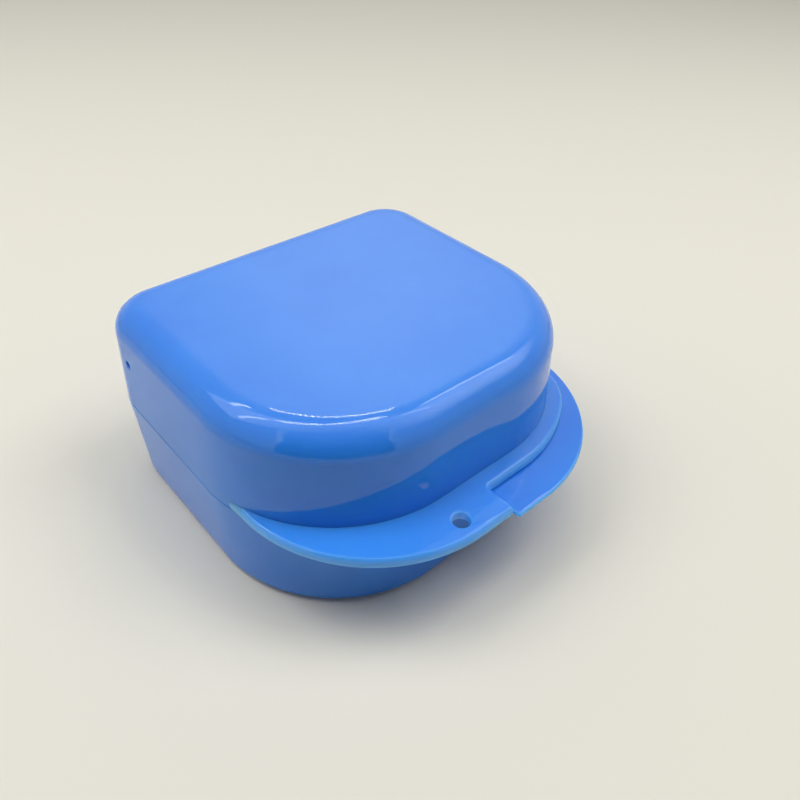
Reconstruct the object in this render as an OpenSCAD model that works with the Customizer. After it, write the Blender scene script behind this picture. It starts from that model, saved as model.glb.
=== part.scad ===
// Denture case: two moulded shells with a snap-in hinge behind the back wall.
// +Z is up, +Y points to the hinge and -Y to the finger tabs. The origin is on
// the underside, at the middle of the body. All sizes are in millimetres.

/* [Outline] */
// Width of the body at the seam
body_w = 80; // [70:1:100]
// Depth of the body at the seam, without tabs and hinge
body_d = 72.5; // [62:0.5:90]
// Radius of the two rear corners
rear_r = 11; // [9:0.5:18]
// Radius of the two front corners
front_r = 31; // [22:0.5:34]

/* [Walls] */
// Thickness of the side walls
wall = 2; // [1.8:0.1:2.4]
// Thickness of the floor of the base
floor_t = 2; // [1.5:0.1:3]
// Thickness of the top of the lid
top_t = 2; // [1.5:0.1:3]

/* [Base] */
// Height of the base, up to the seam
base_h = 21.5; // [16:0.5:30]
// Lean of the base wall
base_draft = 2.5; // [0.5:0.25:5]
// Height of the foot under the wall's bottom edge
foot_h = 1.5; // [0.6:0.1:1.8]
// How far the foot stands in from the wall's bottom edge
foot_inset = 1.6; // [0.8:0.1:2]
// Radius of the inner bottom edge
base_inner_r = 2; // [1:0.1:3]

/* [Lid] */
// Height of the lid, from its rim to its top
lid_h = 21.3; // [16:0.1:30]
// Lean of the lid wall
lid_draft = 3.5; // [0.5:0.25:5]
// Radius of the outer top edge
lid_edge_r = 5.5; // [3:0.25:6.5]
// Radius of the inner top edge
lid_inner_r = 3.5; // [1:0.25:4.5]

/* [Seam] */
// Gap between the two rims
seam_gap = 0.2; // [0.1:0.05:0.4]
// Height of the lip that stands up inside the lid
lip_h = 2; // [1.4:0.1:3]
// Thickness of the lip
lip_t = 0.9; // [0.7:0.05:1.1]
// Gap between the lip and the lid, beside and above it
lip_gap = 0.2; // [0.1:0.05:0.3]

/* [Snap] */
// Length of the snap bead at the middle of the front
bead_w = 12; // [6:1:16]
// Radius of the bead's round section
bead_r = 0.4; // [0.3:0.05:0.45]
// Gap between the bead and the lid while the lid moves past it
bead_gap = 0.05; // [0.02:0.01:0.08]

/* [Finger tabs] */
// How far the lid's tab stands out in front of the body
tab_reach = 10; // [7:0.1:14]
// How much narrower each side of the tab outline is than the body
tab_inset = 1.1; // [0.5:0.1:4]
// Radius of the tab outline's corners
tab_corner_r = 31; // [24:0.5:33]
// Thickness of the lid's tab and rim
lid_tab_t = 2; // [1.2:0.1:2.1]
// Thickness of the base's tab and rim
base_tab_t = 0.8; // [0.6:0.1:2]
// How much further out the base's tab reaches than the lid's
base_tab_extra = 0.8; // [0:0.1:2]
// Width of the narrow rim beside each tab
rim_w = 3.4; // [2:0.1:6]
// How far inside the tab outline the narrow rims end at the sides
rim_inset = 2.2; // [1:0.1:3]
// How far the lid's tab stops short of the middle
tab_end_gap = 0.6; // [0.2:0.1:2]
// Width of the blunt tips of the tabs and rims at the sides
tab_tip = 0.3; // [0.2:0.05:0.6]

/* [Lanyard hole] */
// Diameter of the hole in the lid's tab
lanyard_d = 3.4; // [2:0.1:4]
// Distance of the hole from the middle
lanyard_side = 10.2; // [6:0.1:16]
// Distance of the hole from the front of the tab
lanyard_in = 4.1; // [3.5:0.1:6]

/* [Vent holes] */
// Diameter of the vent hole in each side of the lid
vent_d = 1.8; // [1.5:0.1:4]
// Height of the vent holes above the lid's rim
vent_up = 11.3; // [7:0.1:14]
// Distance of the vent holes from the back wall
vent_from_back = 12.75; // [11:0.25:30]

/* [Hinge] */
// Diameter of the lid's stub pins
pin_d = 2.4; // [1.8:0.1:2.6]
// Gap all round between a pin and its hole
pin_gap = 0.06; // [0.02:0.01:0.1]
// Length of the tapered tip of a pin
pin_tip = 0.4; // [0.2:0.1:0.8]
// Diameter of the barrel and of the ears' round ends
knuckle_d = 4.4; // [4.2:0.1:6]
// Gap between the knuckles and the back walls
knuckle_gap = 0.4; // [0.3:0.05:1]
// Length of the lid's barrel
barrel_w = 28; // [16:1:36]
// Width of each ear of the base
ear_w = 4; // [2.5:0.5:6]
// Gap between the barrel and an ear
ear_gap = 0.3; // [0.2:0.05:0.6]
// Height of the webs that carry the knuckles on the walls
web_h = 6; // [4:0.5:9]

/* [Hidden] */

$fn = 96;
case_blue = [0.29, 0.56, 0.95];
// How far two solids of one shell run into each other
overlap = 0.5;
// How far a cutter runs past the face that it cuts
past = 1;

lid_z = base_h + seam_gap;
rear_y = body_d / 2;
front_y = -body_d / 2;

// The hinge axis lies behind the back walls, in the middle of the seam
knuckle_out = knuckle_d / 2 + knuckle_gap;
axis_y = rear_y + knuckle_out;
axis_z = base_h + seam_gap / 2;

// The skin of the lid outside the lip, and the height of the rebate behind it
lid_skin = wall - lip_t - lip_gap;
rebate_h = lip_h - seam_gap + lip_gap;
// How deep tabs, rims and webs are rooted in the walls
root = lid_skin / 2;

// The corners of the body and of the rims' outline cross at the rims' tips
corner_gap = [front_r - tab_inset - tab_corner_r, tab_corner_r - tab_reach - front_r];
tip_r = front_r + tab_tip;
tip_along = (pow(tip_r, 2) - pow(tab_corner_r - rim_inset, 2) + pow(norm(corner_gap), 2))
    / (2 * norm(corner_gap));
tip_beside = sqrt(max(0, pow(tip_r, 2) - pow(tip_along, 2)));
rim_tip_y = front_y + front_r
    + (tip_along * corner_gap.y + tip_beside * corner_gap.x) / norm(corner_gap);

// Length of a leaning wall up to its round edge, and the place of that edge's centre
function slope_len(h, draft, r) = (h - r + r * sin(draft)) / cos(draft);
function edge_x(h, draft, r) = -slope_len(h, draft, r) * sin(draft) - r * cos(draft);

// Width of the wall sections, from the outline to where the flat plates carry on
foot_x = -(base_h - foot_h) * tan(base_draft) - foot_inset;
base_run = overlap + max(-foot_x, wall - edge_x(base_h - floor_t, base_draft, base_inner_r));
lid_run = overlap + max(-edge_x(lid_h, lid_draft, lid_edge_r),
                        wall - edge_x(lid_h - top_t, lid_draft, lid_inner_r));

// D-shaped figure: straight back and front, small rear corners, large front ones
module d_shape(w, rear, front, back_corner, front_corner) {
    bx = w / 2 - back_corner;
    by = rear - back_corner;
    fx = w / 2 - front_corner;
    fy = front + front_corner;
    polygon([[-bx, rear], [-w / 2, by], [-w / 2, fy], [-fx, front],
             [fx, front], [w / 2, fy], [w / 2, by], [bx, rear]]);
    for (side = [-1, 1]) {
        translate([side * bx, by]) circle(back_corner);
        translate([side * fx, fy]) circle(front_corner);
    }
}

// The body's outline at the seam, moved in by a distance
module body_shape(inset) {
    d_shape(body_w - 2 * inset, rear_y - inset, front_y + inset, rear_r - inset, front_r - inset);
}

// The outline of the finger tabs, moved out by a distance
module tab_shape(extra) {
    d_shape(body_w - 2 * tab_inset + 2 * extra, rear_r, front_y - tab_reach - extra,
            rear_r, tab_corner_r + extra);
}

// Moves a wall section all round the body's outline
// The section's x runs outwards from the outline, and its y runs up.
module around_body() {
    fx = body_w / 2 - front_r;
    fy = front_y + front_r;
    bx = body_w / 2 - rear_r;
    by = rear_y - rear_r;
    translate([-bx, rear_y, 0]) rotate([90, 0, 90]) linear_extrude(2 * bx) children();
    translate([fx, front_y, 0]) rotate([90, 0, -90]) linear_extrude(2 * fx) children();
    for (side = [0, 1]) mirror([side, 0, 0]) {
        translate([fx, fy, 0]) rotate([0, 0, -90])
            rotate_extrude(angle = 90) translate([front_r, 0]) children();
        translate([body_w / 2, by, 0]) rotate([90, 0, 0]) linear_extrude(by - fy) children();
        translate([bx, by, 0])
            rotate_extrude(angle = 90) translate([rear_r, 0]) children();
    }
}

// Solid half section: leaning wall, round edge and flat end, with the rim at y = 0
module leaning_fill(h, draft, r, run) {
    len = slope_len(h, draft, r);
    ex = edge_x(h, draft, r);
    polygon([[-run, 0], [0, 0], [-len * sin(draft), len * cos(draft)],
             [ex, h - r], [ex, h], [-run, h]]);
    intersection() {
        translate([ex, h - r]) circle(r);
        translate([ex, h - r]) square([2 * r, 2 * r]);
    }
}

// Solid half section of the base upside down, with its rim at y = 0: leaning wall and foot
module base_fill() {
    wall_h = base_h - foot_h;
    polygon([[-base_run, 0], [0, 0], [-wall_h * tan(base_draft), wall_h],
             [foot_x, wall_h], [foot_x, base_h], [-base_run, base_h]]);
}

// Half section of a shell: the solid section less the one inside it
module shell_section(h, draft, r, plate, inner_r, run) {
    difference() {
        leaning_fill(h, draft, r, run);
        translate([-wall, 0]) leaning_fill(h - plate, draft, inner_r, run);
    }
}

// Round end of a knuckle with the web that carries it, seen along the hinge axis
// The wall's rim is at the origin and the wall runs down from it.
module knuckle_section(draft) {
    up = seam_gap / 2;
    foot = [-web_h * tan(draft), -web_h];
    away = [knuckle_out - foot.x, up + web_h];
    turn = atan2(-away.y, -away.x) + acos(knuckle_d / 2 / norm(away));
    translate([knuckle_out, up]) circle(d = knuckle_d);
    polygon([foot - [root, 0], [-root, 0], [knuckle_out, 0], [knuckle_out, up],
             [knuckle_out, up] + knuckle_d / 2 * [cos(turn), sin(turn)], foot]);
}

// Crescent flange: the wide tab on one side of the middle, the narrow rim on the other
// It runs a little into the wall, and the shell that it is moulded on cuts it back to the wall's face.
module crescent(tab_side, extra, end_gap, t) {
    half_w = body_w / 2 + past;
    // The wide tab ends where its straight side is tab_tip outside the body's front corner
    side_run = front_r - tab_inset + extra;
    tip_y = front_y + front_r - sqrt(max(0, pow(front_r + tab_tip, 2) - pow(side_run, 2)));
    linear_extrude(t) difference() {
        union() {
            intersection() {
                tab_shape(extra);
                translate([tab_side * (end_gap + half_w / 2), tip_y - body_d / 2])
                    square([half_w, body_d], center = true);
            }
            intersection() {
                tab_shape(-rim_inset);
                body_shape(-rim_w);
                translate([-half_w, rim_tip_y - body_d]) square([2 * half_w, body_d]);
            }
        }
        body_shape(root);
    }
}

// Snap bead on the outside of the lip, or with a gap round it the groove for it
module bead(around) {
    bead_y = front_y + wall - lip_t - (lip_gap - bead_gap) + bead_r;
    len = bead_w + 2 * around;
    translate([-len / 2, bead_y, base_h + lip_h / 2]) rotate([0, 90, 0])
        cylinder(r = bead_r + around, h = len);
}

module base_shell() color(case_blue) {
    difference() {
        union() {
            around_body() {
                translate([0, base_h]) mirror([0, 1]) difference() {
                    base_fill();
                    translate([-wall, 0])
                        leaning_fill(base_h - floor_t, base_draft, base_inner_r, base_run);
                }
                // Lip inside the seam
                translate([-wall, base_h - overlap]) square([lip_t, lip_h + overlap]);
            }
            linear_extrude(floor_t) body_shape(base_run - overlap / 2);
            bead(0);
            // Two ears on the back wall
            for (side = [0, 1]) mirror([side, 0, 0])
                translate([barrel_w / 2 + ear_gap, rear_y, base_h]) rotate([90, 0, 90])
                    linear_extrude(ear_w) knuckle_section(base_draft);
        }
        // The pins' hole through both ears
        translate([-body_w / 2, axis_y, axis_z]) rotate([0, 90, 0])
            cylinder(d = pin_d + 2 * pin_gap, h = body_w);
    }
}

module base_tab() color(case_blue) {
    difference() {
        translate([0, 0, base_h - base_tab_t]) crescent(1, base_tab_extra, 0, base_tab_t);
        translate([0, 0, base_h]) mirror([0, 0, 1])
            around_body() base_fill();
    }
}

// Stub pin with a tapered tip, which points along +X from the barrel's end
module stub_pin() {
    len = ear_gap + ear_w;
    translate([barrel_w / 2 - overlap, axis_y, axis_z]) rotate([0, 90, 0]) {
        cylinder(d = pin_d, h = len + overlap - pin_tip);
        translate([0, 0, len + overlap - pin_tip])
            cylinder(d1 = pin_d, d2 = pin_d - 2 * pin_tip, h = pin_tip);
    }
}

module lid_shell() color(case_blue) {
    difference() {
        union() {
            translate([0, 0, lid_z]) {
                around_body() difference() {
                    shell_section(lid_h, lid_draft, lid_edge_r, top_t, lid_inner_r, lid_run);
                    // Rebate that goes over the lip
                    translate([-wall - past, -past])
                        square([wall + past - lid_skin, rebate_h + past]);
                }
                translate([0, 0, lid_h - top_t]) linear_extrude(top_t)
                    body_shape(lid_run - overlap / 2);
            }
            // Barrel on the back wall, with a stub pin at each end
            translate([-barrel_w / 2, rear_y, lid_z]) rotate([90, 0, 90])
                linear_extrude(barrel_w) mirror([0, 1]) knuckle_section(lid_draft);
            for (side = [0, 1]) mirror([side, 0, 0]) stub_pin();
        }
        bead(lip_gap);
        // Vent holes through both side walls
        translate([-body_w, rear_y - vent_from_back, lid_z + vent_up]) rotate([0, 90, 0])
            cylinder(d = vent_d, h = 2 * body_w);
    }
}

module lid_tab() color(case_blue) {
    difference() {
        translate([0, 0, lid_z]) crescent(-1, 0, tab_end_gap, lid_tab_t);
        translate([0, 0, lid_z])
            around_body() leaning_fill(lid_h, lid_draft, lid_edge_r, lid_run);
        // Lanyard hole
        translate([-lanyard_side, front_y - tab_reach + lanyard_in, lid_z - past])
            cylinder(d = lanyard_d, h = lid_tab_t + 2 * past);
    }
}

base_shell();
base_tab();
lid_shell();
lid_tab();
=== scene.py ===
import math

import bmesh
import bpy
from mathutils import Matrix, Vector
from mathutils.geometry import tessellate_polygon


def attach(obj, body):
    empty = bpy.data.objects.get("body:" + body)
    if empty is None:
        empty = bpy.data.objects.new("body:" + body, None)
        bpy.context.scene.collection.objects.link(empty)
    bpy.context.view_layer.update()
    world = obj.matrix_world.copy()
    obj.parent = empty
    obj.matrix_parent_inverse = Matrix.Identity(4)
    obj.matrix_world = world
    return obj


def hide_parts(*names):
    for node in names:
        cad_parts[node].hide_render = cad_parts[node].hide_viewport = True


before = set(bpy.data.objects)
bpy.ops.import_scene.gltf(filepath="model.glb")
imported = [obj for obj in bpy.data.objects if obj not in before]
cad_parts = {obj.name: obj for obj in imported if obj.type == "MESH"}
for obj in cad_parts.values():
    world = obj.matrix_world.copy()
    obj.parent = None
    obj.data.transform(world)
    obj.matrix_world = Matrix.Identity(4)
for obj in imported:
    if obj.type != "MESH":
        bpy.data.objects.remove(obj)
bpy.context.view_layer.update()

# ---------------------------------------------------------------- Camera
# A close hand-held view from the front left, which looks down by about 40 degrees.
# The focal length is in the photograph's pixels, and the frame is 800 of them wide.
VIEW_FROM = Vector((-0.073786, -0.094696, 0.120185))
VIEW_TO = Vector((0.005772, -0.007510, 0.020000))
VIEW_ROLL = 0.0343316
FOCAL_PIXELS, FRAME_PIXELS, SENSOR_MM, NEAREST = 708.6, 800, 36, 0.005

ahead = (VIEW_TO - VIEW_FROM).normalized()
sideways = ahead.cross(Vector((0, 0, 1))).normalized()
above = sideways.cross(ahead)
to_right = sideways * math.cos(VIEW_ROLL) + above * math.sin(VIEW_ROLL)
to_top = above * math.cos(VIEW_ROLL) - sideways * math.sin(VIEW_ROLL)
camera = bpy.data.objects.new("Camera", bpy.data.cameras.new("Camera"))
bpy.context.scene.collection.objects.link(camera)
camera.matrix_world = Matrix((
    (to_right.x, to_top.x, -ahead.x, VIEW_FROM.x),
    (to_right.y, to_top.y, -ahead.y, VIEW_FROM.y),
    (to_right.z, to_top.z, -ahead.z, VIEW_FROM.z),
    (0, 0, 0, 1)))
camera.data.sensor_width = SENSOR_MM
camera.data.lens = FOCAL_PIXELS / FRAME_PIXELS * SENSOR_MM
camera.data.clip_start = NEAREST
bpy.context.scene.camera = camera

# ---------------------------------------------------------------- Table and light
# A light tent: the case stands on a pale warm sheet under a row of three soft panels that
# runs from left to right, with pale cloth all round and a dark opening on the camera's side.
# Rows of small diodes under the roof show only as the lines of light on the lid's edge.
TABLE_HALF, TABLE_COLOUR, TABLE_ROUGHNESS = 2, (0.74, 0.715, 0.625, 1), 0.9
AHEAD = Vector((0.64, 0.77, 0)).normalized()
RIGHT = Vector((AHEAD.y, -AHEAD.x, 0))
UP = Vector((0, 0, 1))
# Each roof panel's place from left to right, and each side cloth's direction, with their powers in watts
ROOF_PANELS = (("Left roof panel", -0.40, 2.3), ("Middle roof panel", 0, 1.25),
               ("Right roof panel", 0.40, 2.3))
ROOF_PANEL_SIZE, ROOF_PANEL_Z = (0.38, 0.38), 0.62
SIDE_CLOTHS = (("Left cloth", -RIGHT, 1.5), ("Back cloth", AHEAD, 0.7), ("Right cloth", RIGHT, 1.0))
SIDE_CLOTH_SIZE, SIDE_CLOTH_AWAY, SIDE_CLOTH_Z, SIDE_CLOTH_AIM = (0.9, 0.5), 0.75, 0.30, (0, 0, 0.1)

table_mesh = bpy.data.meshes.new("Table")
table_mesh.from_pydata([(x * TABLE_HALF, y * TABLE_HALF, 0) for x, y in ((-1, -1), (1, -1), (1, 1), (-1, 1))],
                       [], [(0, 1, 2, 3)])
table = bpy.data.objects.new("Table", table_mesh)
bpy.context.scene.collection.objects.link(table)
paper = bpy.data.materials.new("Pale table sheet")
paper.use_nodes = True
paper.node_tree.nodes["Principled BSDF"].inputs["Base Color"].default_value = TABLE_COLOUR
paper.node_tree.nodes["Principled BSDF"].inputs["Roughness"].default_value = TABLE_ROUGHNESS
table_mesh.materials.append(paper)


def light_panel(name, size, place, aim, power):
    """A soft rectangular panel that lights the case, but isn't mirrored in it."""
    lamp = bpy.data.lights.new(name, "AREA")
    lamp.shape = "RECTANGLE"
    lamp.size, lamp.size_y = size
    lamp.energy = power
    panel = bpy.data.objects.new(name, lamp)
    bpy.context.scene.collection.objects.link(panel)
    panel.location = place
    panel.rotation_euler = (Vector(aim) - Vector(place)).to_track_quat("-Z", "Y").to_euler()
    panel.visible_camera = False
    panel.visible_glossy = False


for name, aside, power in ROOF_PANELS:
    under = RIGHT * aside
    light_panel(name, ROOF_PANEL_SIZE, (under.x, under.y, ROOF_PANEL_Z), under, power)
for name, way, power in SIDE_CLOTHS:
    light_panel(name, SIDE_CLOTH_SIZE, way * SIDE_CLOTH_AWAY + UP * SIDE_CLOTH_Z, SIDE_CLOTH_AIM, power)

# What the glossy case mirrors: pieces of the tent, each with its own glow
WHITE = (1, 1, 1, 1)
CLOTH_GLOW, CLOTH_COLOUR, FILL_GLOW = 0.76, (1.0, 0.99, 0.96, 1), 0.05
BACK_AWAY, BACK_HALF, BACK_TOP, BACK_COLOUR = 0.62, 0.72, 1.15, (1, 0.99, 0.97, 1)
BACK_GLOW_Z = 0.52
ROOF_HALF, ROOF_FRONT, ROOF_BACK, ROOF_Z = 0.9, -0.1, 0.42, 0.80
FRONT_AWAY, FRONT_BEND_Z, FRONT_TOP_AWAY, FRONT_TOP_Z = 0.45, 0.45, 0.16, 1.02
OPENING_HALF, OPENING_HALF_TOP = 0.33, 0.37
DIODES_Z, DIODE_LENGTH, DIODE_SHARE, DIODE_GLOW = 0.44, 0.034, 0.40, 22
RIGHT_CLOTH_Z, RIGHT_CLOTH_COLOUR, RIGHT_CLOTH_GLOW = 0.46, (1, 1, 0.98, 1), 3.1
ROWS_CLOTH_W, ROWS_CLOTH_GLOW, LAMP_EDGE_GLOW = 0.020, 8, 5


def tent_piece(name, quads, colour, glow):
    """Flat pieces of the tent that glow, seen only where the case mirrors them."""
    mesh = bpy.data.meshes.new(name)
    points = [p for quad in quads for p in quad]
    mesh.from_pydata(points, [], [tuple(range(4 * i, 4 * i + 4)) for i in range(len(quads))])
    piece = bpy.data.objects.new(name, mesh)
    bpy.context.scene.collection.objects.link(piece)
    cloth = bpy.data.materials.new(name)
    cloth.use_nodes = True
    shader = cloth.node_tree.nodes["Principled BSDF"]
    shader.inputs["Base Color"].default_value = (0, 0, 0, 1)
    shader.inputs["Roughness"].default_value = 1.0
    shader.inputs["Specular IOR Level"].default_value = 0.0
    shader.inputs["Emission Color"].default_value = colour
    shader.inputs["Emission Strength"].default_value = glow
    piece.visible_camera = piece.visible_diffuse = piece.visible_shadow = False
    mesh.materials.append(cloth)
    return cloth


def upright(way, distance, half, low, high):
    """An upright rectangle that faces the case."""
    foot, side = way * distance, Vector((-way.y, way.x, 0)) * half
    return [foot - side + UP * low, foot + side + UP * low, foot + side + UP * high, foot - side + UP * high]


def along(start, end, width, dots=1, share=1):
    """Quads in a row under the roof from start to end, each one a share of its step."""
    run = Vector(end) - Vector(start)
    side = Vector((-run.y, run.x)).normalized() * width / 2
    quads = []
    for i in range(dots):
        a = Vector(start) + run * (i + 0.5 - share / 2) / dots
        b = Vector(start) + run * (i + 0.5 + share / 2) / dots
        quads.append([(q.x, q.y, DIODES_Z) for q in (a - side, a + side, b + side, b - side)])
    return quads


def front_cloth(left, right, left_top, right_top):
    """Part of the tent's front between two places across: upright at first, then leaning over the case."""
    rows = [[-AHEAD * away + RIGHT * place + UP * z for place in ends] for away, z, ends in (
        (FRONT_AWAY, 0, (left, right)),
        (FRONT_AWAY, FRONT_BEND_Z, (left, right)),
        (FRONT_TOP_AWAY, FRONT_TOP_Z, (left_top, right_top)))]
    return [low + high[::-1] for low, high in zip(rows, rows[1:])]


def map_range(nodes, start, end, first, last):
    """A node that goes from first to last while its value goes from start to end."""
    node = nodes.new("ShaderNodeMapRange")
    for name, value in (("From Min", start), ("From Max", end), ("To Min", first), ("To Max", last)):
        node.inputs[name].default_value = value
    return node


def fading(cloth, axis, start, end, first, last):
    """Lets the glow of a piece run from one level to another along an axis."""
    nodes, links = cloth.node_tree.nodes, cloth.node_tree.links
    place, parts = nodes.new("ShaderNodeTexCoord"), nodes.new("ShaderNodeSeparateXYZ")
    fade = map_range(nodes, start, end, first, last)
    links.new(place.outputs["Object"], parts.inputs[0])
    links.new(parts.outputs[axis], fade.inputs["Value"])
    links.new(fade.outputs["Result"], nodes["Principled BSDF"].inputs["Emission Strength"])


def spot(cloth, middle, reach, tall, near, far, socket="Emission Strength"):
    """Lets the glow or the cover of a piece fall off round a middle, in a spot with its own height."""
    nodes, links = cloth.node_tree.nodes, cloth.node_tree.links
    place, move, away = (nodes.new(kind) for kind in (
        "ShaderNodeTexCoord", "ShaderNodeMapping", "ShaderNodeVectorMath"))
    fade = map_range(nodes, 0, reach, near, far)
    away.operation, fade.interpolation_type = "LENGTH", "SMOOTHSTEP"
    move.inputs["Scale"].default_value = (1, 1, reach / tall)
    move.inputs["Location"].default_value = (-middle.x, -middle.y, -middle.z * reach / tall)
    links.new(place.outputs["Object"], move.inputs["Vector"])
    links.new(move.outputs["Vector"], away.inputs[0])
    links.new(away.outputs["Value"], fade.inputs["Value"])
    links.new(fade.outputs["Result"], nodes["Principled BSDF"].inputs[socket])


# The back wall glows most behind the case, and the roof cloth over the case towards the back
back_wall = tent_piece("Back wall", [upright(AHEAD, BACK_AWAY, BACK_HALF, 0, BACK_TOP)], BACK_COLOUR, 1)
spot(back_wall, AHEAD * BACK_AWAY + UP * BACK_GLOW_Z, reach=0.42, tall=0.36, near=1.95, far=0.80)
roof_ends = [side * ROOF_HALF + AHEAD * depth for side, depth in (
    (-RIGHT, ROOF_FRONT), (RIGHT, ROOF_FRONT), (RIGHT, ROOF_BACK), (-RIGHT, ROOF_BACK))]
roof_cloth = tent_piece("Roof cloth", [[(q.x, q.y, ROOF_Z) for q in roof_ends]], WHITE, 1)
fading(roof_cloth, "Y", start=-0.05, end=0.35, first=0.8, last=2.2)
# The opening spans 36 degrees to either side of the camera. The cloth over it fades in, and its edges are lit
opening = tent_piece(
    "Dark opening", front_cloth(-OPENING_HALF, OPENING_HALF, -OPENING_HALF_TOP, OPENING_HALF_TOP), WHITE, 1)
fading(opening, "Z", start=0.30, end=0.98, first=0.01, last=0.7)
for name, ends, glow in (("Lit left edge", (-0.38, -OPENING_HALF, -0.44, -OPENING_HALF_TOP), 1.5),
                         ("Lit right edge", (OPENING_HALF, 0.36, OPENING_HALF_TOP, 0.41), 1.3)):
    lit_edge = tent_piece(name, front_cloth(*ends), WHITE, 1)
    fading(lit_edge, "Z", start=0.25, end=0.50, first=CLOTH_GLOW, last=glow)
# Cloth on the right, close under a lamp, with a soft edge all round but for the lamp's own edge
right_ends = [(x, y, RIGHT_CLOTH_Z) for x, y in ((-0.08, 0.10), (-0.08, -0.54), (0.80, -0.54), (0.80, 0.10))]
right_cloth = tent_piece("Cloth under the right lamp", [right_ends], RIGHT_CLOTH_COLOUR, RIGHT_CLOTH_GLOW)
spot(right_cloth, Vector((0.36, -0.10, RIGHT_CLOTH_Z)), reach=0.42, tall=0.42, near=1, far=0, socket="Alpha")
for name, start, end, dots in (("Diodes of the front row", (-0.013, 0.180), (0.195, 0.170), 26),
                               ("Diodes of the rear row", (0.150, 0.352), (0.262, 0.262), 21)):
    tent_piece(name, along(start, end, DIODE_LENGTH, dots, DIODE_SHARE), WHITE, DIODE_GLOW)
tent_piece("Cloth lit by the rows", along((-0.30, 0.21), (-0.05, 0.185), ROWS_CLOTH_W)
           + along((-0.09, 0.297), (0.06, 0.32), ROWS_CLOTH_W), WHITE, ROWS_CLOTH_GLOW)
tent_piece("Lamp's edge on the right", along((0.255, 0.13), (0.385, 0.03), 0.045)
           + along((0.185, 0.07), (0.240, -0.05), 0.020), WHITE, LAMP_EDGE_GLOW)

# Cloth all round, as bright as it is seen or mirrored; the panels give nearly all the light
room = bpy.data.worlds.new("Cloth of the tent")
bpy.context.scene.world = room
room.use_nodes = True
nodes, links = room.node_tree.nodes, room.node_tree.links
ray, seen, also = nodes.new("ShaderNodeLightPath"), nodes.new("ShaderNodeMath"), nodes.new("ShaderNodeMath")
seen.operation = also.operation = "MAXIMUM"
strength = map_range(nodes, 0, 1, FILL_GLOW, CLOTH_GLOW)
links.new(ray.outputs["Is Camera Ray"], seen.inputs[0])
links.new(ray.outputs["Is Glossy Ray"], seen.inputs[1])
links.new(seen.outputs[0], also.inputs[0])
links.new(ray.outputs["Is Transmission Ray"], also.inputs[1])
links.new(also.outputs[0], strength.inputs["Value"])
links.new(strength.outputs["Result"], nodes["Background"].inputs["Strength"])
nodes["Background"].inputs["Color"].default_value = CLOTH_COLOUR
bpy.context.scene.view_settings.view_transform = "Standard"

# ---------------------------------------------------------------- Base shell
# The lower moulding: a deep D-shaped tray of glossy polypropylene, 2 mm thick,
# with a leaning wall on a low foot, and a lip that stands up inside the lid.
# Its wall is one section swept round the outline of the case.
CASE_W, CASE_D, REAR_R, FRONT_R = 0.080, 0.0725, 0.011, 0.031
WALL, FLOOR_T, FLOOR_R = 0.002, 0.002, 0.002
BASE_H, BASE_LEAN, BASE_PLATE_IN = 0.0215, math.radians(2.5), 0.006
FOOT_H, FOOT_INSET, FOOT_R = 0.0015, 0.0016, 0.0003
LIP_T, LIP_H, LIP_R, LIP_ROOT_R = 0.0009, 0.002, 0.00025, 0.0001
SOFT_EDGE = 0.0002
CORNER_STEPS, ARC_STEP, LEAST_STEPS = 90, 0.00025, 6
SHARP_FROM, WELD, SLIVER, FLAT_WEIGHT = math.radians(40), 1e-6, 1e-7, 80

# Where its noise is low and high, the pigment is deeper and paler
PIGMENT = ((0.30, (0.024, 0.208, 0.755, 1)), (0.70, (0.032, 0.236, 0.795, 1)))
# A paler blue painted on the finger tabs, most of all on their edges: a painted glow for light in the thin
# plastic
PAINTED_GLOW_BLUE = (0.10, 0.42, 0.97, 1)
PLASTIC_IOR, MILKY, MILKY_DEPTH, MILKY_SPREAD = 1.49, 0.5, 0.0030, (0.4, 0.7, 1.0)
PIGMENT_CLOUDS, HANDLED_CLOUDS = (45, 3), (160, 6)
POLISHED, HANDLED = 0.02, 0.05
# The number of waves to a metre and their height: broad ones from shrinkage, and the mould's fine grain
WAVES = ((70, 0.000004), (1400, 0.0000003))


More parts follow.
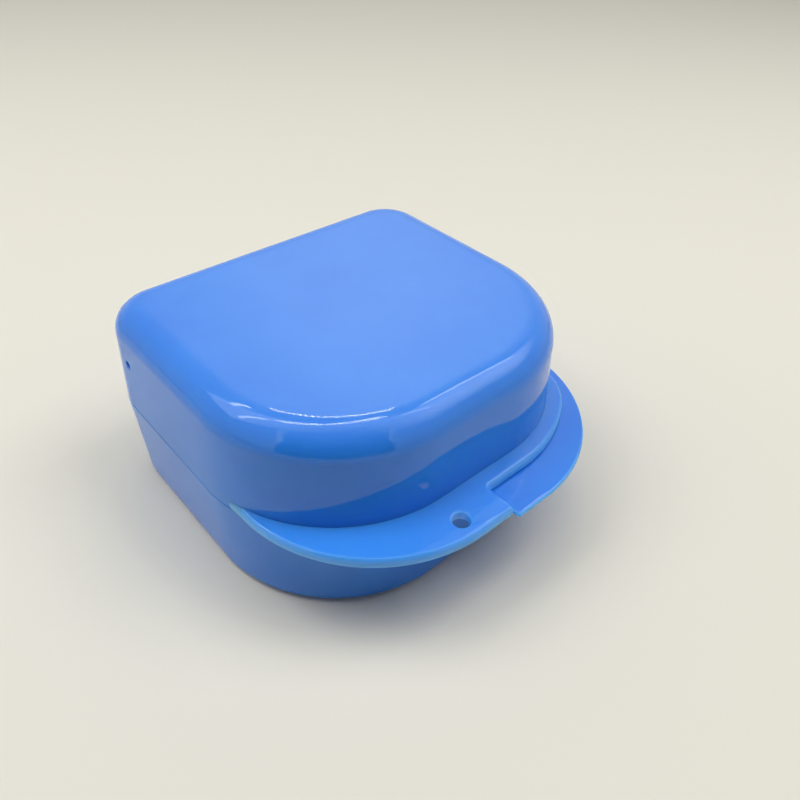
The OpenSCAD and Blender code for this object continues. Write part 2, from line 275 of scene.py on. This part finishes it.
def glossy_plastic():
    """Blue polypropylene from a polished mould: a little milky, faintly wavy and handled."""
    mat = bpy.data.materials.new("Glossy blue polypropylene")
    mat.use_nodes = True
    nodes, links = mat.node_tree.nodes, mat.node_tree.links
    shader = nodes["Principled BSDF"]
    shader.inputs["IOR"].default_value = PLASTIC_IOR
    shader.inputs["Subsurface Weight"].default_value = MILKY
    shader.inputs["Subsurface Radius"].default_value = MILKY_SPREAD
    shader.inputs["Subsurface Scale"].default_value = MILKY_DEPTH
    place = nodes.new("ShaderNodeTexCoord")

    def clouds(scale, detail):
        noise = nodes.new("ShaderNodeTexNoise")
        noise.inputs["Scale"].default_value = scale
        noise.inputs["Detail"].default_value = detail
        links.new(place.outputs["Object"], noise.inputs["Vector"])
        return noise.outputs["Fac"]

    # The pigment has flowed in slightly paler and deeper clouds
    pigment = nodes.new("ShaderNodeValToRGB")
    for stop, (position, colour) in zip(pigment.color_ramp.elements, PIGMENT):
        stop.position, stop.color = position, colour
    links.new(clouds(*PIGMENT_CLOUDS), pigment.inputs["Fac"])
    # Painted glow: the finger tabs' pigment is painted paler, most of all along their edges, in place of the
    # light that gets into the thin plastic
    painted_glow, painted_glow_mix = nodes.new("ShaderNodeAttribute"), nodes.new("ShaderNodeMix")
    painted_glow.attribute_name, painted_glow_mix.data_type = "painted_glow", "RGBA"
    links.new(painted_glow.outputs["Fac"], painted_glow_mix.inputs[0])
    links.new(pigment.outputs["Color"], painted_glow_mix.inputs[6])
    painted_glow_mix.inputs[7].default_value = PAINTED_GLOW_BLUE
    links.new(painted_glow_mix.outputs[2], shader.inputs["Base Color"])
    # Handling has dulled the polish in patches
    dulled = map_range(nodes, 0.35, 0.75, POLISHED, HANDLED)
    links.new(clouds(*HANDLED_CLOUDS), dulled.inputs["Value"])
    links.new(dulled.outputs["Result"], shader.inputs["Roughness"])
    last = None
    for scale, height in WAVES:
        bump = nodes.new("ShaderNodeBump")
        bump.inputs["Distance"].default_value = height
        links.new(clouds(scale, 1), bump.inputs["Height"])
        if last:
            links.new(last.outputs["Normal"], bump.inputs["Normal"])
        last = bump
    links.new(last.outputs["Normal"], shader.inputs["Normal"])
    return mat


plastic = glossy_plastic()


def rounded(corners):
    """A line through (x, z, radius) corners, with an arc at each one that has a radius."""
    line = []
    for i, (x, z, r) in enumerate(corners):
        here = Vector((x, z))
        if not r:
            line.append(here)
            continue
        a = (Vector(corners[i - 1][:2]) - here).normalized()
        b = (Vector(corners[(i + 1) % len(corners)][:2]) - here).normalized()
        half = a.angle(b) / 2
        middle = here + (a + b).normalized() * (r / math.sin(half))
        start = here + a * (r / math.tan(half)) - middle
        end = here + b * (r / math.tan(half)) - middle
        turn = math.atan2(start.x * end.y - start.y * end.x, start.dot(end))
        n = max(LEAST_STEPS, int(abs(turn) * r / ARC_STEP))
        for k in range(n + 1):
            t = turn * k / n
            line.append(middle + Vector((start.x * math.cos(t) - start.y * math.sin(t),
                                         start.x * math.sin(t) + start.y * math.cos(t))))
    return line


def wall_sweep():
    """Nodes that sweep a wall section round the D-shaped outline of the case."""
    tree = bpy.data.node_groups.new("Wall round the case", "GeometryNodeTree")
    face, nodes, links = tree.interface, tree.nodes, tree.links
    face.new_socket("Section", in_out="INPUT", socket_type="NodeSocketGeometry")
    for name, size in (("Width", CASE_W), ("Depth", CASE_D),
                       ("Rear corner", REAR_R), ("Front corner", FRONT_R)):
        face.new_socket(name, in_out="INPUT", socket_type="NodeSocketFloat").default_value = size
    steps = face.new_socket("Steps per corner", in_out="INPUT", socket_type="NodeSocketInt")
    steps.default_value = CORNER_STEPS
    face.new_socket("Plastic", in_out="INPUT", socket_type="NodeSocketMaterial")
    face.new_socket("Wall", in_out="OUTPUT", socket_type="NodeSocketGeometry")
    given, made = nodes.new("NodeGroupInput"), nodes.new("NodeGroupOutput")
    outline = nodes.new("GeometryNodeCurvePrimitiveQuadrilateral")
    place, parts = nodes.new("GeometryNodeInputPosition"), nodes.new("ShaderNodeSeparateXYZ")
    at_rear, radius = nodes.new("FunctionNodeCompare"), nodes.new("GeometryNodeSwitch")
    at_rear.data_type, at_rear.operation, radius.input_type = "FLOAT", "GREATER_THAN", "FLOAT"
    corners, level = nodes.new("GeometryNodeFilletCurve"), nodes.new("GeometryNodeSetCurveNormal")
    corners.mode, level.mode = "POLY", "Z_UP"
    section, sweep = nodes.new("GeometryNodeMeshToCurve"), nodes.new("GeometryNodeCurveToMesh")
    real, paint = nodes.new("GeometryNodeRealizeInstances"), nodes.new("GeometryNodeSetMaterial")
    for source, target in (
            (given.outputs["Width"], outline.inputs["Width"]),
            (given.outputs["Depth"], outline.inputs["Height"]),
            (place.outputs[0], parts.inputs[0]),
            (parts.outputs["Y"], at_rear.inputs[0]),
            (at_rear.outputs[0], radius.inputs["Switch"]),
            (given.outputs["Front corner"], radius.inputs["False"]),
            (given.outputs["Rear corner"], radius.inputs["True"]),
            (outline.outputs[0], corners.inputs["Curve"]),
            (given.outputs["Steps per corner"], corners.inputs["Count"]),
            (radius.outputs[0], corners.inputs["Radius"]),
            (corners.outputs[0], level.inputs["Curve"]),
            (given.outputs["Section"], section.inputs["Mesh"]),
            (level.outputs[0], sweep.inputs["Curve"]),
            (section.outputs[0], sweep.inputs["Profile Curve"]),
            (sweep.outputs[0], real.inputs["Geometry"]),
            (real.outputs[0], paint.inputs["Geometry"]),
            (given.outputs["Plastic"], paint.inputs["Material"]),
            (paint.outputs[0], made.inputs["Wall"])):
        links.new(source, target)
    return tree


def settle(piece):
    """Turns a piece and its modifiers into one plain mesh."""
    deps = bpy.context.evaluated_depsgraph_get()
    mesh = bpy.data.meshes.new_from_object(
        piece.evaluated_get(deps), preserve_all_data_layers=True, depsgraph=deps)
    piece.modifiers.clear()
    piece.data = mesh
    return piece


def moulded(name, points, faces, edges=()):
    """A piece from its points and faces, or a line from its points and edges."""
    mesh = bpy.data.meshes.new(name)
    mesh.from_pydata([tuple(p) for p in points], list(edges), list(faces))
    piece = bpy.data.objects.new(name, mesh)
    bpy.context.scene.collection.objects.link(piece)
    return piece


def polish(piece):
    """Merges doubles, turns faces outwards, and lets the flat faces lead the shading."""
    shape = bmesh.new()
    shape.from_mesh(piece.data)
    bmesh.ops.remove_doubles(shape, verts=shape.verts, dist=WELD)
    bmesh.ops.dissolve_degenerate(shape, edges=shape.edges, dist=SLIVER)
    bmesh.ops.recalc_face_normals(shape, faces=shape.faces)
    shape.to_mesh(piece.data)
    shape.free()
    piece.data.shade_smooth()
    piece.data.set_sharp_from_angle(angle=SHARP_FROM)
    piece.data.materials.clear()
    piece.data.materials.append(plastic)
    lead = piece.modifiers.new("Flat faces lead", "WEIGHTED_NORMAL")
    lead.keep_sharp = True
    lead.weight = FLAT_WEIGHT
    return settle(piece)


def swept_shell(name, line, tree):
    """A wall section swept round the case, and closed by its flat plates."""
    piece = moulded(name, [(p.x, -p.y, 0) for p in line], [], [(i, i + 1) for i in range(len(line) - 1)])
    nodes = piece.modifiers.new("Wall round the case", "NODES")
    nodes.node_group = tree
    given = {s.name: s.identifier for s in tree.interface.items_tree if s.in_out == "INPUT"}
    for socket, value in (("Width", CASE_W), ("Depth", CASE_D), ("Rear corner", REAR_R),
                          ("Front corner", FRONT_R), ("Steps per corner", CORNER_STEPS), ("Plastic", plastic)):
        nodes[given[socket]] = value
    settle(piece)
    shape = bmesh.new()
    shape.from_mesh(piece.data)
    bmesh.ops.remove_doubles(shape, verts=shape.verts, dist=SLIVER)
    bmesh.ops.holes_fill(shape, edges=[e for e in shape.edges if e.is_boundary], sides=0)
    bmesh.ops.recalc_face_normals(shape, faces=shape.faces)
    shape.to_mesh(piece.data)
    shape.free()
    return piece


sweep_tree = wall_sweep()
lean = math.tan(BASE_LEAN)
wall_foot = -(BASE_H - FOOT_H) * lean
base_section = rounded([
    (-BASE_PLATE_IN, 0, 0),
    (wall_foot - FOOT_INSET, 0, FOOT_R),
    (wall_foot - FOOT_INSET, FOOT_H, FOOT_R),
    (wall_foot, FOOT_H, FOOT_R),
    (0, BASE_H, SOFT_EDGE),
    (-WALL + LIP_T, BASE_H, LIP_ROOT_R),
    (-WALL + LIP_T, BASE_H + LIP_H, LIP_R),
    (-WALL, BASE_H + LIP_H, LIP_R),
    (-WALL, BASE_H, 0),
    (-WALL - (BASE_H - FLOOR_T) * lean, FLOOR_T, FLOOR_R),
    (-BASE_PLATE_IN, FLOOR_T, 0)])
base_shell = swept_shell("base_shell_moulding", base_section, sweep_tree)
polish(base_shell)
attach(base_shell, "base")
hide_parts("base_shell")

# ---------------------------------------------------------------- Base finger tab
# A thin crescent moulded round the front of the base, just under the seam: the
# wide finger tab is its right half, and a narrow rim runs on under the lid's tab.
TAB_REACH, TAB_INSET, TAB_R, TAB_BACK = 0.010, 0.0011, 0.031, 0.004
RIM_W, RIM_INSET, RIM_BLEND = 0.0034, 0.0022, 0.10
TAB_END_R, NOTCH_R = 0.0007, 0.0004
BASE_TAB_T, BASE_TAB_EXTRA, BASE_TAB_TOP_R, BASE_TAB_LOW_R = 0.0008, 0.0008, 0.0005, 0.00025
# How far the inner edge, and the ends of the outer one, reach into the body's wall
TAB_ROOT, BASE_TAB_SINK = 0.00019, 0.00008
OUTLINE_STEP, EDGE_STEPS, HOLE_SIDES = 0.0005, 6, 64


def depth_at(p):
    """Distance of a point outside the outline of the body, and the way out there."""
    front = FRONT_R - CASE_D / 2
    x = CASE_W / 2 - FRONT_R
    if p.y < front and abs(p.x) > x:
        out = Vector((p.x - math.copysign(x, p.x), p.y - front))
        return out.length - FRONT_R, out.normalized()
    if p.y < front:
        return -CASE_D / 2 - p.y, Vector((0, -1))
    return abs(p.x) - CASE_W / 2, Vector((math.copysign(1, p.x), 0))


def arc(x, y, r, first, last):
    """Points on part of a circle, from one angle to another."""
    n = max(2, int(abs(last - first) * r / OUTLINE_STEP))
    angles = [first + (last - first) * k / n for k in range(n + 1)]
    return [Vector((x + r * math.cos(t), y + r * math.sin(t))) for t in angles]


def circle(x, y, r, sides):
    """Points all round a circle."""
    angles = [math.tau * k / sides for k in range(sides)]
    return [(x + r * math.cos(t), y + r * math.sin(t)) for t in angles]


def quarter(steps):
    """The angles of a quarter turn."""
    return [math.pi / 2 * k / steps for k in range(steps + 1)]


def plate_edge(low, high, low_r, top_r, drop):
    """A plate's edge as (inset, height), rounded by low_r below, and above over top_r and drop."""
    return ([(low_r * (1 - math.sin(t)), low + low_r * (1 - math.cos(t))) for t in quarter(EDGE_STEPS)]
            + [(top_r * (1 - math.cos(t)), high - drop * (1 - math.sin(t))) for t in quarter(EDGE_STEPS)])


def band(a, b):
    """Faces between two closed loops of points."""
    n = len(a)
    return [(a[k], a[(k + 1) % n], b[(k + 1) % n], b[k]) for k in range(n)]


def plate(points, loops, u, v):
    """Triangles that fill a flat outline, the first loop, but for the holes in it, the other loops."""
    flat = [i for loop in loops for i in loop]
    outlines = [[Vector((points[i][u], points[i][v], 0)) for i in loop] for loop in loops]
    return [[flat[i] for i in triangle] for triangle in tessellate_polygon(outlines)]


def tab_outline(extra, end):
    """Outer edge of a crescent whose wide tab is on the left and ends at x = end."""
    half, front, r = CASE_W / 2 - TAB_INSET + extra, -CASE_D / 2 - TAB_REACH - extra, TAB_R + extra
    cx, cy = half - r, front + r
    body_x, body_y = CASE_W / 2 - FRONT_R, FRONT_R - CASE_D / 2
    rim_r, rim_y, end_r = FRONT_R + RIM_W, -CASE_D / 2 - RIM_W, TAB_R - RIM_INSET
    # The narrow rim follows the body, and ends on a circle inside the tab's outline
    gap = Vector((cx - body_x, cy - body_y))
    run = (rim_r ** 2 - end_r ** 2 + gap.length_squared) / (2 * gap.length)
    off = math.sqrt(rim_r ** 2 - run ** 2)
    way = gap.normalized()
    meet = Vector((body_x, body_y)) + way * run + Vector((-way.y, way.x)) * off
    rim_turn = math.atan2(meet.y - body_y, meet.x - body_x)
    side_turn = math.atan2(meet.y - cy, meet.x - cx)
    narrow = arc(body_x, body_y, rim_r, -math.pi / 2, rim_turn - RIM_BLEND)
    side = arc(cx, cy, end_r, side_turn + RIM_BLEND, 0)
    bend = [narrow[-1].lerp(meet, t).lerp(meet.lerp(side[0], t), t) for t in [k / 10 for k in range(1, 10)]]
    wide = [Vector((-half, cy + TAB_BACK))] + arc(-cx, cy, r, -math.pi, -math.pi / 2)
    turn = rounded([(wide[-1].x, front, 0), (end, front, TAB_END_R),
                    (end, rim_y, NOTCH_R), (narrow[0].x, rim_y, 0)])
    return wide + turn[1:-1] + narrow + bend + side + [Vector((cx + end_r, cy + TAB_BACK))]


def crescent(name, line, low, high, top_r, drop, low_r, sink, painted_glow, hole=None):
    """A flat plate with soft edges between an outer line and the body's wall. The edge's upper rounding
    is top_r of a point wide and drop tall, and painted_glow is how pale the flat faces are painted: a painted
    glow for light that shows through the plastic."""
    points, faces, columns = [], [], []
    for i, p in enumerate(line):
        on = (line[min(i + 1, len(line) - 1)] - line[max(i - 1, 0)]).normalized()
        inward = Vector((-on.y, on.x))
        columns.append([])
        for inset, z in plate_edge(low, high, low_r, top_r(p), drop):
            q = p + inward * inset
            away, out = depth_at(q)
            if away < -sink:
                q = q + out * (-sink - away)
            columns[-1].append(len(points))
            points.append((q.x, q.y, z))
    for a, b in zip(columns, columns[1:]):
        faces += [(a[k], b[k], b[k + 1], a[k + 1]) for k in range(len(a) - 1)]
    # The plate's inner edge, hidden in the wall
    ends = [Vector(points[columns[0][0]][:2]), Vector(points[columns[-1][0]][:2])]
    front, x = FRONT_R - CASE_D / 2, CASE_W / 2 - FRONT_R
    angles = [math.asin((e.y - front) / (FRONT_R - sink)) for e in ends]
    inner = (arc(-x, front, FRONT_R - TAB_ROOT, -math.pi - angles[0], -math.pi / 2)
             + arc(x, front, FRONT_R - TAB_ROOT, -math.pi / 2, angles[1]))
    roots = []
    for z in (low, high):
        roots.append(list(range(len(points), len(points) + len(inner))))
        points += [(p.x, p.y, z) for p in inner]
    faces += [(roots[0][k], roots[1][k], roots[1][k + 1], roots[0][k + 1]) for k in range(len(inner) - 1)]
    for column, k in ((columns[0], 0), (columns[-1], -1)):
        faces.append([roots[0][k]] + column + [roots[1][k]])
    # The hole's soft-edged wall
    rings = []
    if hole:
        hole_x, hole_y, hole_r, soft = hole
        for inset, z in plate_edge(low, high, soft, soft, soft):
            rings.append(list(range(len(points), len(points) + HOLE_SIDES)))
            points += [(x, y, z) for x, y in circle(hole_x, hole_y, hole_r + inset, HOLE_SIDES)]
        for a, b in zip(rings, rings[1:]):
            faces += band(a, b)
    # The two flat sides
    for k, root_line in ((0, roots[0]), (-1, roots[1])):
        outline = [c[k] for c in columns] + root_line[::-1]
        faces += plate(points, [outline] + ([rings[k]] if hole else []), 0, 1)
    tab = moulded(name, points, faces)
    # Painted glow: how much paler the pigment is painted for light showing through the plastic, in full at the
    # edge's steepest place
    shares = [math.sin(t) for t in quarter(EDGE_STEPS)] + [math.cos(t) for t in quarter(EDGE_STEPS)]
    glow = [painted_glow + (1 - painted_glow) * share for share in shares]
    lit = glow * len(columns) + [painted_glow] * (2 * len(inner))
    lit += [level for level, ring in zip(glow, rings) for _ in ring]
    tab.data.attributes.new("painted_glow", "FLOAT", "POINT").data.foreach_set("value", lit)
    return tab


base_line = [Vector((-p.x, p.y)) for p in reversed(tab_outline(BASE_TAB_EXTRA, 0))]
# Its edges get the tabs' painted glow in full, its flat faces none
base_tab = crescent("base_finger_tab", base_line, BASE_H - BASE_TAB_T, BASE_H, lambda p: BASE_TAB_TOP_R,
                    drop=BASE_TAB_TOP_R, low_r=BASE_TAB_LOW_R, sink=BASE_TAB_SINK, painted_glow=0)
polish(base_tab)
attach(base_tab, "base")
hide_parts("base_tab")

# ---------------------------------------------------------------- Hinge ears
# Two ears moulded on the base's back wall. Each has a round hole that a stub
# pin of the lid snaps into, and a web that runs down the wall.
SEAM = 0.0002
PIN_R, PIN_GAP, KNUCKLE_R, KNUCKLE_OUT = 0.0012, 0.00006, 0.0022, 0.0026
BARREL_W, EAR_W, EAR_GAP, WEB_H = 0.028, 0.004, 0.0003, 0.006
KNUCKLE_SINK, KNUCKLE_SOFT, KNUCKLE_STEPS = 0.0006, 0.00025, 4
PIN_HOLE_SIDES, PIN_HOLE_SOFT = 48, 0.6


def knuckle_outline(lean):
    """Round end and web, as (out from the wall, up from the rim), counterclockwise."""
    up = SEAM / 2
    foot = Vector((-WEB_H * math.tan(lean), -WEB_H))
    away = Vector((KNUCKLE_OUT - foot.x, up + WEB_H))
    low = math.atan2(-away.y, -away.x) + math.acos(KNUCKLE_R / away.length)
    high = math.pi + math.asin(up / KNUCKLE_R)
    return ([foot - Vector((KNUCKLE_SINK, 0)), foot]
            + arc(KNUCKLE_OUT, up, KNUCKLE_R, low, high)
            + [Vector((-KNUCKLE_SINK, 0))])


def knuckle(points, faces, outline, first, last, hole=0):
    """Adds a knuckle between two x values, with soft edges and perhaps a hole."""
    n = len(outline)
    inwards = []
    for i in range(n):
        a = (outline[i] - outline[i - 1]).normalized()
        b = (outline[(i + 1) % n] - outline[i]).normalized()
        m = Vector((-a.y - b.y, a.x + b.x)).normalized()
        inwards.append(m / max(0.5, m.dot(Vector((-a.y, a.x)))))
    profile = [(KNUCKLE_SOFT * (1 - math.sin(t)), first + KNUCKLE_SOFT * (1 - math.cos(t)))
               for t in quarter(KNUCKLE_STEPS)]
    profile += [(inset, first + last - x) for inset, x in reversed(profile)]
    outer, rings = [], []
    for inset, x in profile:
        outer.append(list(range(len(points), len(points) + n)))
        points += [(x, q.x, q.y) for q in [p + m * inset for p, m in zip(outline, inwards)]]
        if hole:
            rings.append(list(range(len(points), len(points) + PIN_HOLE_SIDES)))
            r = hole + inset * PIN_HOLE_SOFT
            points += [(x, y, z) for y, z in circle(KNUCKLE_OUT, SEAM / 2, r, PIN_HOLE_SIDES)]
    for loops in (outer, rings):
        for a, b in zip(loops, loops[1:]):
            faces += band(a, b)
    for k in (0, -1):
        faces += plate(points, [outer[k]] + ([rings[k]] if hole else []), 1, 2)


points, faces = [], []
near = BARREL_W / 2 + EAR_GAP
for side in (-1, 1):
    first, last = sorted((side * near, side * (near + EAR_W)))
    knuckle(points, faces, knuckle_outline(BASE_LEAN), first, last, hole=PIN_R + PIN_GAP)
hinge_ears = moulded("hinge_ears", [(x, CASE_D / 2 + y, BASE_H + z) for x, y, z in points], faces)
polish(hinge_ears)
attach(hinge_ears, "base")

# ---------------------------------------------------------------- Snap bead
# A short low bead moulded on the front of the base's lip, which clicks into a
# groove in the lid and keeps the case shut.
BEAD_W, BEAD_R, BEAD_OUT, BEAD_SIDES = 0.012, 0.0004, 0.00015, 24
BEAD_Y, BEAD_Z = -CASE_D / 2 + WALL - LIP_T - BEAD_OUT + BEAD_R, BASE_H + LIP_H / 2


def turned(name, line, middle, sides):
    """A shape turned round an axis along x: line holds (x, radius)."""
    points = [(x, y, z) for x, r in line for y, z in circle(*middle, r, sides)]
    rings = [list(range(i * sides, (i + 1) * sides)) for i in range(len(line))]
    faces = [face for a, b in zip(rings, rings[1:]) for face in band(a, b)]
    return moulded(name, points, faces + [rings[0], rings[-1]])


def rod(half, r, length, tip):
    """A rod with round ends: half its length, its radius, and how long and how blunt its ends are."""
    end = [(-half + r * (1 - math.cos(t)) * length, r * max(tip, math.sin(t))) for t in quarter(EDGE_STEPS)]
    return end + [(-x, y) for x, y in reversed(end)]


snap_bead = turned("snap_bead", rod(BEAD_W / 2, BEAD_R, 1, 0.02), (BEAD_Y, BEAD_Z), BEAD_SIDES)
polish(snap_bead)
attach(snap_bead, "base")

# ---------------------------------------------------------------- Lid shell
# The upper moulding: a D-shaped cover as tall as the base, with a large round
# top edge and a rebate inside its rim that goes over the base's lip. It has a
# small vent hole in each side, and a groove at the front for the snap bead.
LID_Z, LID_H, LID_LEAN, TOP_T = BASE_H + SEAM, 0.0213, math.radians(3.5), 0.002
LID_PLATE_IN, LID_INNER_R = 0.008, 0.0035
# The top edge is a tight arc with a longer run-out into the flat top
EDGE_IN, EDGE_Z, EDGE_R, RUN_OUT_IN, RUN_OUT_R = 0.001256, 0.02053, 0.0055, 0.0067, 0.014
SKIN, REBATE_H, REBATE_R, REBATE_ROOT_R = 0.0009, 0.002, 0.00015, 0.0001
VENT_R, VENT_Y, VENT_Z = 0.0009, CASE_D / 2 - 0.01275, LID_Z + 0.0113
VENT_SOFT, VENT_SIDES, CUT_PAST = 0.00012, 48, 0.001
GROOVE_GAP, GROOVE_SIDES = 0.0002, 48

lean = math.tan(LID_LEAN)
lid_section = rounded([
    (-LID_PLATE_IN, LID_H, 0),
    (-RUN_OUT_IN, LID_H, RUN_OUT_R),
    (-EDGE_IN, EDGE_Z, EDGE_R),
    (0, 0, SOFT_EDGE),
    (-SKIN, 0, REBATE_R),
    (-SKIN, REBATE_H, REBATE_ROOT_R),
    (-WALL - REBATE_H * lean, REBATE_H, REBATE_R),
    (-WALL - (LID_H - TOP_T) * lean, LID_H - TOP_T, LID_INNER_R),
    (-LID_PLATE_IN, LID_H - TOP_T, 0)])
lid_shell = swept_shell("lid_shell_moulding", [Vector((p.x, p.y + LID_Z)) for p in lid_section], sweep_tree)

# The cutter for the vents widens at both faces of the wall, which gives the holes soft edges
cutters = []
vent_half = [(-CUT_PAST, VENT_R + VENT_SOFT * 1.2), (-VENT_SOFT * 0.2, VENT_R + VENT_SOFT)]
vent_half += [(VENT_SOFT * (1 - math.cos(t)), VENT_R + VENT_SOFT * (1 - math.sin(t)))
              for t in [math.radians(a) for a in (12, 25, 40, 60, 90)]]
vent_line = vent_half + [(WALL - x, r) for x, r in reversed(vent_half)]
# The wall's outer face at the vent's height
face_x = CASE_W / 2 - (VENT_Z - LID_Z) * lean
for side in (-1, 1):
    cutter = turned("cutter", vent_line, (0, 0), VENT_SIDES)
    cutter.data.transform(
        Matrix.Translation((-face_x, VENT_Y, VENT_Z)) @ Matrix.Rotation(-LID_LEAN, 4, "Y"))
    if side > 0:
        cutter.data.transform(Matrix.Rotation(math.pi, 4, "Z") @ Matrix.Translation((0, -2 * VENT_Y, 0)))
    cutters.append(cutter)
groove_line = rod(BEAD_W / 2 + GROOVE_GAP, BEAD_R + GROOVE_GAP, 0.6, 0.05)
cutters.append(turned("cutter", groove_line, (BEAD_Y, BEAD_Z), GROOVE_SIDES))
for cutter in cutters:
    shape = bmesh.new()
    shape.from_mesh(cutter.data)
    bmesh.ops.recalc_face_normals(shape, faces=shape.faces)
    shape.to_mesh(cutter.data)
    shape.free()
    cut = lid_shell.modifiers.new("Hole", "BOOLEAN")
    cut.operation, cut.solver, cut.object = "DIFFERENCE", "EXACT", cutter
settle(lid_shell)
for cutter in cutters:
    bpy.data.objects.remove(cutter)
polish(lid_shell)
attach(lid_shell, "lid")
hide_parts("lid_shell")

# ---------------------------------------------------------------- Lid finger tab
# A thicker crescent moulded round the front of the lid, flush with its rim. Its left
# half is the wide finger tab with the lanyard hole, and on the right a narrow rim
# with a rounder edge lies on the base's tab.
LID_TAB_T, LID_TAB_END, LID_TAB_DROP, LID_TAB_LOW_R = 0.002, -0.0006, 0.0014, 0.0003
# The second value is how pale the lid tab's flat faces are painted, a painted glow for light in the plastic
LID_TAB_SINK, LID_TAB_PAINTED_GLOW = 0.00016, 0.2
WIDE_TOP_R, RIM_EXTRA_R, RIM_BEFORE, RIM_RUN = 0.00075, 0.0001, 0.0002, 0.002
LANYARD_X, LANYARD_Y, LANYARD_R, LANYARD_SOFT = -0.0102, -0.04215, 0.0017, 0.0004


def top_edge(p):
    """The edge is a little rounder along the narrow rim than along the wide tab."""
    return WIDE_TOP_R + RIM_EXTRA_R * min(1, max(0, (p.x - LID_TAB_END + RIM_BEFORE) / RIM_RUN))


lid_tab = crescent("lid_finger_tab", tab_outline(0, LID_TAB_END), LID_Z, LID_Z + LID_TAB_T, top_edge,
                   drop=LID_TAB_DROP, low_r=LID_TAB_LOW_R, sink=LID_TAB_SINK, painted_glow=LID_TAB_PAINTED_GLOW,
                   hole=(LANYARD_X, LANYARD_Y, LANYARD_R, LANYARD_SOFT))
polish(lid_tab)
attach(lid_tab, "lid")
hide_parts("lid_tab")

# ---------------------------------------------------------------- Hinge barrel and pins
# A barrel moulded on the lid's back wall, with a stub pin at each end that turns
# in the base's ears. The pins' tips are tapered, so that they spring in.
HINGE_Y, HINGE_Z = CASE_D / 2 + KNUCKLE_OUT, BASE_H + SEAM / 2
PIN_ROOT, PIN_TIP, PIN_SOFT, PIN_FACE_R, PIN_SIDES = 0.0005, 0.0004, 0.0002, 0.0004, 48

points, faces = [], []
knuckle(points, faces, knuckle_outline(LID_LEAN), -BARREL_W / 2, BARREL_W / 2)
barrel = moulded("hinge_barrel", [(x, CASE_D / 2 + y, LID_Z - z) for x, y, z in points], faces)
polish(barrel)
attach(barrel, "lid")
pin_end = BARREL_W / 2 + EAR_GAP + EAR_W
pin_line = rounded([
    (BARREL_W / 2 - PIN_ROOT, PIN_R, 0),
    (pin_end - PIN_TIP, PIN_R, PIN_SOFT),
    (pin_end, PIN_R - PIN_TIP, PIN_SOFT),
    (pin_end, PIN_FACE_R, 0)])
for side, name in ((-1, "hinge_pin_left"), (1, "hinge_pin_right")):
    pin = turned(name, [(side * p.x, p.y) for p in pin_line], (HINGE_Y, HINGE_Z), PIN_SIDES)
    polish(pin)
    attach(pin, "lid")
